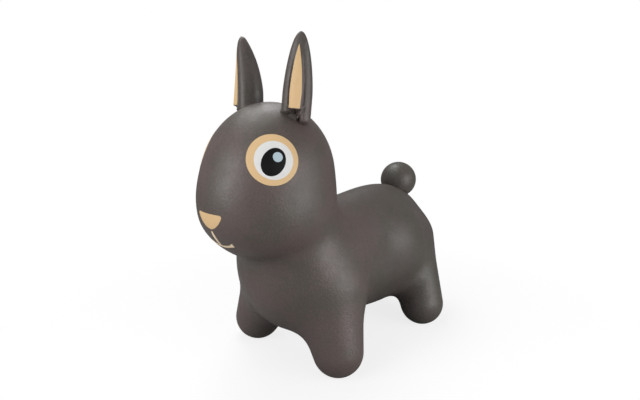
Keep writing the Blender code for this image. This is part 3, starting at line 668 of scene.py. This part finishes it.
def build_ear_print(side, name):
    """The tan leaf printed on an ear's pad."""
    columns = np.linspace(-1.0, 1.0, EAR_PRINT_COLUMNS)
    rows = []
    for height in np.linspace(EAR_PRINT_FOOT, EAR_PRINT_TOP, EAR_PRINT_ROWS):
        across = EAR_PRINT_SHIFT + print_half_width(height) * columns
        heights = np.full(EAR_PRINT_COLUMNS, height)
        rows.append(np.stack((across, ear_surface(across, heights), heights), axis=1))
    sheet = np.vstack(rows)
    top = on_head(sheet - (0.0, FILM, 0.0), side)
    under = on_head(sheet + (0.0, FILM_SINK, 0.0), side)
    return film_mesh(name, top, under, EAR_PRINT_COLUMNS, False)


def printed_ink(name, colours):
    """Satin ink on the skin."""
    return soft_plastic(name, colours, INK_ROUGHNESS, INK_SHINE, INK_GRAIN)


tan_ink = printed_ink("tan_ink", TANS)
for side, end in ((1.0, "left"), (-1.0, "right")):
    ear = build_ear(side, "ear_horn_" + end)
    dress(ear, vinyl, "skin_pvc", "ear_" + end, "ear_root_" + end)
    leaf = build_ear_print(side, "ear_leaf_" + end)
    dress(leaf, tan_ink, "tan_print", "ear_print_" + end)
    for piece in (ear, leaf):
        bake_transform(piece)


# Eyes
# Each eye is ink printed on the side of the head: a tan ring, a white, a dark pupil that leans back and a
# pale blue glint in the pupil. The four inks lie edge to edge.
LEFT_EYE_TURN = math.radians(55.6)
RIGHT_EYE_TURN = math.radians(51.0)
EYE_LIFT = math.radians(23.0)
EYE_RING_RADIUS = 0.0360
EYE_WHITE_RADIUS = 0.0270
EYE_WHITE = (0.0012, -0.0012)
PUPIL_HALF_HEIGHT = 0.0206
PUPIL_HALF_WIDTH = 0.0162
PUPIL_LEAN = math.radians(32.0)
PUPIL = (0.0004, -0.0038)
GLINT_RADIUS = 0.0069
GLINT = (0.0067, 0.0026)
EYE_POINTS = 112
EYE_STEPS = 8
WHITES = ((224, 225, 223), (228, 227, 226))
PUPIL_BLACKS = ((16, 15, 16), (20, 19, 20))
GLINT_BLUES = ((177, 197, 205), (181, 199, 208))


def oval(middle, half_width, half_height, lean=0.0):
    """Points round an oval edge, as (back, up) seen from in front of the eye."""
    turn = np.linspace(0.0, 2.0 * math.pi, EYE_POINTS, endpoint=False)
    across = half_width * np.cos(turn)
    up = half_height * np.sin(turn)
    back = middle[0] + across * math.cos(lean) + up * math.sin(lean)
    return np.stack((back, middle[1] - across * math.sin(lean) + up * math.cos(lean)), axis=1)


def lay_film(name, rows, along, columns, closed):
    """Lay rows of points on the skin along one direction, and make a film of them."""
    sheet = press_onto_skin(rows, along)
    outwards = skin_slope(sheet)
    outwards = outwards / np.linalg.norm(outwards, axis=1)[:, None]
    return film_mesh(name, sheet + outwards * FILM, sheet - outwards * FILM_SINK, columns, closed)


def eye_film(side, turn, name, inner, outer):
    """One ink of an eye, between two edges."""
    level = math.cos(EYE_LIFT)
    reach = HEAD_HALF * (side * level * math.sin(turn), -level * math.cos(turn), math.sin(EYE_LIFT))
    middle = press_onto_skin(HEAD + reach)
    normal = Vector(skin_slope(middle)[0]).normalized()
    rise = (Vector((0.0, 0.0, 1.0)) - normal * normal.z).normalized()
    back = rise.cross(normal) * side
    rows = []
    for step in np.linspace(0.0, 1.0, EYE_STEPS):
        flat = inner + (outer - inner) * step
        rows.append(middle + np.outer(flat[:, 0], back) + np.outer(flat[:, 1], rise))
    return lay_film(name, np.vstack(rows), np.array(normal), EYE_POINTS, True)


ring_edge = oval((0.0, 0.0), EYE_RING_RADIUS, EYE_RING_RADIUS)
white_edge = oval(EYE_WHITE, EYE_WHITE_RADIUS, EYE_WHITE_RADIUS)
pupil_edge = oval(PUPIL, PUPIL_HALF_WIDTH, PUPIL_HALF_HEIGHT, PUPIL_LEAN)
glint_edge = oval(GLINT, GLINT_RADIUS, GLINT_RADIUS, PUPIL_LEAN)
white_ink = printed_ink("white_ink", WHITES)
pupil_ink = printed_ink("pupil_ink", PUPIL_BLACKS)
glint_ink = printed_ink("glint_ink", GLINT_BLUES)
for side, turn, end in ((1.0, LEFT_EYE_TURN, "left"), (-1.0, RIGHT_EYE_TURN, "right")):
    for name, finish, slot, inner, outer in (
        ("ring", tan_ink, "tan_print", white_edge, ring_edge),
        ("white", white_ink, "white_print", pupil_edge, white_edge),
        ("pupil", pupil_ink, "pupil_print", glint_edge, pupil_edge),
        ("glint", glint_ink, "glint_print", np.array([GLINT] * EYE_POINTS), glint_edge),
    ):
        ink = eye_film(side, turn, "eye_ink_" + name + "_" + end, inner, outer)
        dress(ink, finish, slot, "eye_" + name + "_" + end)
        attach(ink, "body")


# Nose and mouth
# Ink on the front of the face: a tan nose with a straight top and a round tip, and a line that runs down
# from it to a smile, whose ends thicken into ticks. Line and smile are a paler tan, partly their own paler
# print and partly painted light that lifts them out of the shade under the chin.
NOSE_DROP = 0.0310
NOSE_HEIGHT = 0.0233
NOSE_HALF_WIDTH = 0.0260
NOSE_FULLNESS = 1.6
NOSE_CORNER = 0.0030
NOSE_CURVE_STEPS = 200
NOSE_CORNER_STEPS = 12
NOSE_POINTS = 120
NOSE_STEPS = 16
LIP_GAP = 0.0035
LIP_LENGTH = 0.0240
LIP_WIDTH = 0.0056
LIP_END_SHARE = 0.55
LIP_FULLEST = 0.8
SMILE_HALF_WIDTH = 0.0270
SMILE_RISE = 0.0065
SMILE_WIDTH = 0.0033
SMILE_TICK = 0.0022
SMILE_TICK_FROM = 0.72
SMILE_TICK_FADE = 0.2
MOUTH_COLUMNS = 5
MOUTH_ROWS = 60
# Paler tan for the mouth: partly its own print colour, partly painted light against the shade under the
# chin.
MOUTH_TANS_PALE_AND_PAINTED_LIGHT = ((246, 221, 188), (249, 226, 194))
FORE_AND_AFT = np.array((0.0, 1.0, 0.0))
FACE_FRONT = -0.26

nose_top = HEAD[2] - NOSE_DROP
power = 2.0 / NOSE_FULLNESS
corner_start = math.asin((NOSE_CORNER / NOSE_HEIGHT) ** (1.0 / power))
sweep = np.linspace(corner_start, math.pi - corner_start, NOSE_CURVE_STEPS)
curve_across = NOSE_HALF_WIDTH * np.sign(np.cos(sweep)) * np.abs(np.cos(sweep)) ** power
curve_height = nose_top - NOSE_HEIGHT * np.sin(sweep) ** power
shoulder = curve_across[0] - NOSE_CORNER
turn = np.linspace(0.0, math.pi / 2.0, NOSE_CORNER_STEPS)
corner_across = shoulder + NOSE_CORNER * np.cos(turn)
corner_height = nose_top - NOSE_CORNER + NOSE_CORNER * np.sin(turn)
edge_across = np.concatenate((curve_across, -corner_across, corner_across[::-1]))
edge_height = np.concatenate((curve_height, corner_height, corner_height[::-1]))
run = np.concatenate(([0.0], np.cumsum(np.hypot(np.diff(edge_across), np.diff(edge_height)))))
stops = np.linspace(0.0, run[-1], NOSE_POINTS, endpoint=False)
nose_edge = np.stack((np.interp(stops, run, edge_across), np.interp(stops, run, edge_height)), axis=1)
nose_middle = nose_edge.mean(axis=0)
rows = []
for step in np.linspace(0.0, 1.0, NOSE_STEPS):
    flat = nose_middle + (nose_edge - nose_middle) * step
    rows.append(np.stack((flat[:, 0], np.full(NOSE_POINTS, FACE_FRONT), flat[:, 1]), axis=1))
nose = lay_film("nose_ink", np.vstack(rows), FORE_AND_AFT, NOSE_POINTS, True)
dress(nose, tan_ink, "tan_print", "nose_print")
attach(nose, "body")

lip_top = nose_top - NOSE_HEIGHT - LIP_GAP
smile_middle = lip_top - LIP_LENGTH - SMILE_WIDTH / 2.0
columns = np.linspace(-0.5, 0.5, MOUTH_COLUMNS)
rows = []
for share in np.linspace(0.0, 1.0, MOUTH_ROWS):
    width = LIP_WIDTH * (LIP_END_SHARE + (1.0 - LIP_END_SHARE) * math.sin(math.pi * share ** LIP_FULLEST))
    height = lip_top + (smile_middle - lip_top) * share
    rows.append(np.stack((
        columns * width, np.full(MOUTH_COLUMNS, FACE_FRONT), np.full(MOUTH_COLUMNS, height),
    ), axis=1))
lip_line = lay_film("lip_ink", np.vstack(rows), FORE_AND_AFT, MOUTH_COLUMNS, False)
rows = []
for share in np.linspace(-1.0, 1.0, 2 * MOUTH_ROWS):
    width = SMILE_WIDTH + SMILE_TICK * ease((abs(share) - SMILE_TICK_FROM) / SMILE_TICK_FADE)
    height = smile_middle + SMILE_RISE * share ** 2
    across = np.full(MOUTH_COLUMNS, SMILE_HALF_WIDTH * share)
    rows.append(np.stack((across, np.full(MOUTH_COLUMNS, FACE_FRONT), height + columns * width), axis=1))
smile = lay_film("smile_ink", np.vstack(rows), FORE_AND_AFT, MOUTH_COLUMNS, False)
# The mouth ink is the paler tan with painted light in it, lighter than the nose's tan.
mouth_ink_pale_and_painted_light = printed_ink("mouth_ink_pale_and_painted_light", MOUTH_TANS_PALE_AND_PAINTED_LIGHT)
for piece, node in ((lip_line, "lip_line_print"), (smile, "smile_print")):
    dress(piece, mouth_ink_pale_and_painted_light, "tan_print", node)
    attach(piece, "body")


# Valve
# Air goes in under the belly through a grommet of firmer PVC, whose flange and collar trap the skin's wall
# between them. A stopper with a round head closes the bore and pulls straight down.
VALVE_BORE = 0.0045
VALVE_NECK = 0.0090
VALVE_FLANGE_RADIUS = 0.0140
VALVE_COLLAR_RADIUS = 0.0115
VALVE_FLANGE = 0.0015
VALVE_TUBE = 0.0080
STOPPER_HEAD = 0.0085
STOPPER_PLAY = 0.0003
STOPPER_EDGE = 0.0010
VALVE_POINTS = 72
VALVE_WELD = 0.00001
VALVE_ROUNDING = 0.0004
VALVE_ROUNDING_STEPS = 3
VALVE_ROUNDING_FROM = 35.0
VALVE_SHARP_FROM = 50.0
VALVE_COLOURS = ((69, 65, 63), (72, 68, 65))
VALVE_ROUGHNESS = 0.5
VALVE_SHINE = 0.5
VALVE_GRAIN = 0.15


def turned(name, profile, base, closed):
    """A piece turned about an upright axis from its outline, as (radius, height) points."""
    turn = np.linspace(0.0, 2.0 * math.pi, VALVE_POINTS, endpoint=False)
    rings = []
    for radius, height in profile:
        rings.append(np.stack((
            radius * np.cos(turn), radius * np.sin(turn), np.full(VALVE_POINTS, height),
        ), axis=1) + base)
    if closed:
        rings.append(rings[0])
    faces = ring_faces(len(rings), VALVE_POINTS)
    if not closed:
        last = (len(rings) - 1) * VALVE_POINTS
        faces.append(tuple(range(VALVE_POINTS)))
        faces.append(tuple(range(last, last + VALVE_POINTS)))
    piece = make_mesh(name, np.vstack(rings), faces)
    bpy.ops.object.mode_set(mode="EDIT")
    bpy.ops.mesh.select_all(action="SELECT")
    bpy.ops.mesh.remove_doubles(threshold=VALVE_WELD)
    bpy.ops.mesh.normals_make_consistent(inside=False)
    bpy.ops.object.mode_set(mode="OBJECT")
    apply_modifier(
        piece, "BEVEL", width=VALVE_ROUNDING, segments=VALVE_ROUNDING_STEPS,
        limit_method="ANGLE", angle_limit=math.radians(VALVE_ROUNDING_FROM),
    )
    shade(piece, VALVE_SHARP_FROM)
    return piece


seat_low, seat_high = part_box("valve_seat")
stopper_low, stopper_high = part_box("valve_plug")
valve_base = np.array(((seat_low.x + seat_high.x) / 2.0, (seat_low.y + seat_high.y) / 2.0, seat_low.z))
valve_height = seat_high.z - seat_low.z
collar = valve_height - VALVE_TUBE - VALVE_FLANGE
tube_radius = (VALVE_BORE + VALVE_NECK) / 2.0
grommet = turned("valve_grommet", (
    (VALVE_BORE, 0.0),
    (VALVE_FLANGE_RADIUS, 0.0),
    (VALVE_FLANGE_RADIUS, VALVE_FLANGE),
    (VALVE_NECK, VALVE_FLANGE),
    (VALVE_NECK, collar),
    (VALVE_COLLAR_RADIUS, collar),
    (VALVE_COLLAR_RADIUS, collar + VALVE_FLANGE),
    (tube_radius, collar + VALVE_FLANGE),
    (tube_radius, valve_height),
    (VALVE_BORE, valve_height),
), valve_base, True)
stem_radius = VALVE_BORE - STOPPER_PLAY
head_foot = stopper_low.z - seat_low.z
stopper = turned("valve_stopper", (
    (STOPPER_HEAD - STOPPER_EDGE, head_foot),
    (STOPPER_HEAD, head_foot + STOPPER_EDGE),
    (STOPPER_HEAD, -STOPPER_PLAY),
    (stem_radius, -STOPPER_PLAY),
    (stem_radius, stopper_high.z - seat_low.z - STOPPER_EDGE),
    (stem_radius - STOPPER_EDGE, stopper_high.z - seat_low.z),
), valve_base, False)
bpy.ops.object.select_all(action="DESELECT")
bpy.ops.mesh.primitive_cylinder_add(
    vertices=VALVE_POINTS, radius=VALVE_NECK + STOPPER_PLAY, depth=2.0 * valve_height, location=valve_base,
)
shape_with(skin, "DIFFERENCE", bpy.context.object)
shade(skin, SKIN_SHARP_FROM)
valve_plastic = soft_plastic("valve_plastic", VALVE_COLOURS, VALVE_ROUGHNESS, VALVE_SHINE, VALVE_GRAIN)
dress(grommet, valve_plastic, "valve_pvc", "valve_seat")
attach(grommet, "body")
dress(stopper, valve_plastic, "valve_pvc", "valve_plug")
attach(stopper, "valve_plug")


# Floor and light
# A plain white floor under a white sky. Square soft boxes stand to the left and right of the rabbit and
# hang over it, where the highlights on its skin ask for them.
CAMERA_TURN = math.radians(42.9)
CAMERA_RISE = math.radians(12.9)
CAMERA_DISTANCE = 0.900
CAMERA_TARGET = Vector((0.0, -0.0284, 0.2598))
FOCUS_PIXELS = 525.4
PICTURE_WIDTH = 640
SENSOR = 36.0
CLIP_START = 0.01
FLOOR_SIZE = 12.0
FLOOR_ROUGHNESS = 0.9
FLOOR_NEAR = 0.25
FLOOR_FAR = 0.62
FLOOR_WHITE = 0.95
FLOOR_BOUNCE = 0.36
FLOOR_GLOW = 0.8
SKY_LIGHT = 0.23
LIGHT_SIZE = 0.65
LIGHT_DISTANCE = 1.1
SOFT_BOXES = (
    ("left_box", -8.0, 16.0, 5.6),
    ("left_box_high", 5.0, 35.0, 1.6),
    ("right_box_near", 92.0, 4.0, 4.0),
    ("right_box_far", 112.0, 8.0, 4.0),
    ("top_box_back", -120.0, 60.0, 6.2),
    ("top_box_front", -60.0, 70.0, 3.0),
)

bpy.ops.object.select_all(action="DESELECT")
bpy.ops.mesh.primitive_plane_add(size=FLOOR_SIZE)
floor = bpy.context.object
floor.name = "floor"
floor_finish = bpy.data.materials.new("floor_white")
floor_finish.use_nodes = True
floor_links = floor_finish.node_tree.links
floor_shader = floor_finish.node_tree.nodes["Principled BSDF"]
floor_shader.inputs["Roughness"].default_value = FLOOR_ROUGHNESS
floor_shader.inputs["Specular IOR Level"].default_value = 0.0
seen = add_node(floor_finish, "ShaderNodeLightPath")
paint = add_node(floor_finish, "ShaderNodeMapRange", To_Min=FLOOR_BOUNCE, To_Max=FLOOR_WHITE)
floor_place = add_node(floor_finish, "ShaderNodeTexCoord")
from_middle = add_node(floor_finish, "ShaderNodeVectorMath")
from_middle.operation = "LENGTH"
fade = add_node(
    floor_finish, "ShaderNodeMapRange", From_Min=FLOOR_NEAR, From_Max=FLOOR_FAR, To_Min=FLOOR_GLOW,
)
fade_seen = add_node(floor_finish, "ShaderNodeMath")
fade_seen.operation = "MULTIPLY"
distance_white = add_node(floor_finish, "ShaderNodeEmission")
mix = add_node(floor_finish, "ShaderNodeMixShader")
floor_links.new(seen.outputs["Is Camera Ray"], paint.inputs["Value"])
floor_links.new(paint.outputs["Result"], floor_shader.inputs["Base Color"])
floor_links.new(floor_place.outputs["Object"], from_middle.inputs[0])
floor_links.new(from_middle.outputs["Value"], fade.inputs["Value"])
floor_links.new(fade.outputs["Result"], fade_seen.inputs[0])
floor_links.new(seen.outputs["Is Camera Ray"], fade_seen.inputs[1])
floor_links.new(fade_seen.outputs["Value"], mix.inputs["Fac"])
floor_links.new(floor_shader.outputs["BSDF"], mix.inputs[1])
floor_links.new(distance_white.outputs["Emission"], mix.inputs[2])
floor_output = floor_finish.node_tree.nodes["Material Output"]
floor_links.new(mix.outputs["Shader"], floor_output.inputs["Surface"])
floor.data.materials.append(floor_finish)


def direction(turn, rise):
    """The way out from the rabbit, turned from its front towards its left and raised."""
    return Vector((math.sin(turn) * math.cos(rise), -math.cos(turn) * math.cos(rise), math.sin(rise)))


def soft_box(name, turn, rise, power):
    """A soft light that faces the rabbit."""
    light = bpy.data.lights.new(name, "AREA")
    light.size = LIGHT_SIZE
    light.energy = power
    lamp = bpy.data.objects.new(name, light)
    out = direction(math.radians(turn), math.radians(rise))
    lamp.location = CAMERA_TARGET + out * LIGHT_DISTANCE
    lamp.rotation_euler = out.to_track_quat("Z", "Y").to_euler()
    bpy.context.collection.objects.link(lamp)


for name, turn, rise, power in SOFT_BOXES:
    soft_box(name, turn, rise, power)

world = bpy.data.worlds.new("white_sky")
world.use_nodes = True
bpy.context.scene.world = world
sky = world.node_tree.nodes["Background"]
sky.inputs["Color"].default_value = (1.0, 1.0, 1.0, 1.0)
path = world.node_tree.nodes.new("ShaderNodeLightPath")
strength = world.node_tree.nodes.new("ShaderNodeMapRange")
strength.inputs["To Min"].default_value = SKY_LIGHT
strength.inputs["To Max"].default_value = 1.0
world.node_tree.links.new(path.outputs["Is Camera Ray"], strength.inputs["Value"])
world.node_tree.links.new(strength.outputs["Result"], sky.inputs["Strength"])

camera_data = bpy.data.cameras.new("camera")
camera_data.sensor_width = SENSOR
camera_data.lens = SENSOR * FOCUS_PIXELS / PICTURE_WIDTH
camera_data.clip_start = CLIP_START
camera = bpy.data.objects.new("camera", camera_data)
out = direction(CAMERA_TURN, CAMERA_RISE)
camera.location = CAMERA_TARGET + out * CAMERA_DISTANCE
camera.rotation_euler = out.to_track_quat("Z", "Y").to_euler()
bpy.context.collection.objects.link(camera)
bpy.context.scene.camera = camera
bpy.context.scene.view_settings.view_transform = "Standard"
